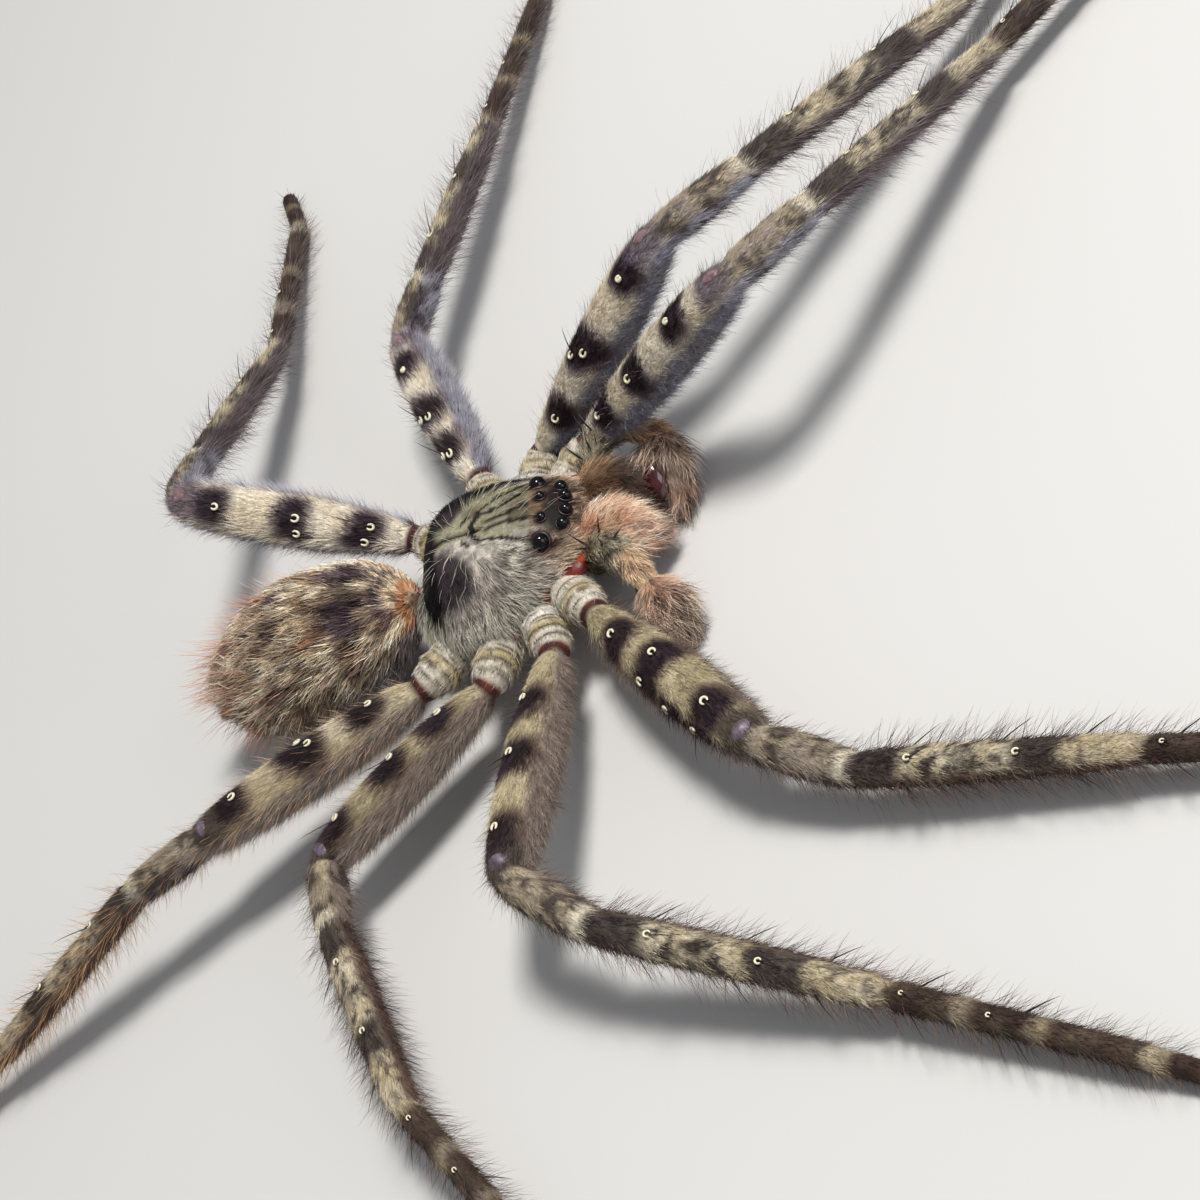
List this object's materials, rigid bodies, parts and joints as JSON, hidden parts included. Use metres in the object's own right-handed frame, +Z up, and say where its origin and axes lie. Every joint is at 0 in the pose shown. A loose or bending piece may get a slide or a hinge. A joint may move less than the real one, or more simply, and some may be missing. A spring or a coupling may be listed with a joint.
{
  "type": "huntsman spider",
  "caption": "Life-size still model of a lichen-coloured huntsman spider, flat-bodied with long banded legs, standing on its feet with its legs spread.",
  "frame": {"origin": "under the middle of the whole figure's outline, on the level its feet stand on", "axes": "+Z up; the head faces -Y; the animal's left side is towards +X and its right side towards -X"},
  "size_m": [0.0862, 0.094, 0.0106],
  "materials": {
    "carapace_coat": "short mottled fur, matt",
    "abdomen_coat": "longer mottled fur, matt",
    "coxa_coat": "pale short fur, matt",
    "leg_coat": "banded fur, matt",
    "foot_coat": "dark short fur, matt",
    "chelicera_coat": "salmon fur, matt",
    "palp_coat": "pinkish grey long fur, matt",
    "eye": "black, mirror smooth",
    "fang": "dark red-brown horn, polished"
  },
  "bodies": {
    "root": {"prosoma": "carapace_coat", "abdomen": "abdomen_coat", "spinnerets": "abdomen_coat", "eye_AME_L": "eye", "eye_AME_R": "eye", "eye_ALE_L": "eye", "eye_ALE_R": "eye", "eye_PME_L": "eye", "eye_PME_R": "eye", "eye_PLE_L": "eye", "eye_PLE_R": "eye", "chelicera_L": "chelicera_coat", "fang_L": "fang", "palp_arm_L": "leg_coat", "palp_tarsus_L": "palp_coat", "chelicera_R": "chelicera_coat", "fang_R": "fang", "palp_arm_R": "leg_coat", "palp_tarsus_R": "palp_coat", "coxa_L1": "coxa_coat", "femur_L1": "leg_coat", "patella_L1": "leg_coat", "tibia_L1": "leg_coat", "foot_L1": "foot_coat", "coxa_L2": "coxa_coat", "femur_L2": "leg_coat", "patella_L2": "leg_coat", "tibia_L2": "leg_coat", "foot_L2": "foot_coat", "coxa_L3": "coxa_coat", "femur_L3": "leg_coat", "patella_L3": "leg_coat", "tibia_L3": "leg_coat", "foot_L3": "foot_coat", "coxa_L4": "coxa_coat", "femur_L4": "leg_coat", "patella_L4": "leg_coat", "tibia_L4": "leg_coat", "foot_L4": "foot_coat", "coxa_R1": "coxa_coat", "femur_R1": "leg_coat", "patella_R1": "leg_coat", "tibia_R1": "leg_coat", "foot_R1": "foot_coat", "coxa_R2": "coxa_coat", "femur_R2": "leg_coat", "patella_R2": "leg_coat", "tibia_R2": "leg_coat", "foot_R2": "foot_coat", "coxa_R3": "coxa_coat", "femur_R3": "leg_coat", "patella_R3": "leg_coat", "tibia_R3": "leg_coat", "foot_R3": "foot_coat", "coxa_R4": "coxa_coat", "femur_R4": "leg_coat", "patella_R4": "leg_coat", "tibia_R4": "leg_coat", "foot_R4": "foot_coat"}
  },
  "joints": []
}
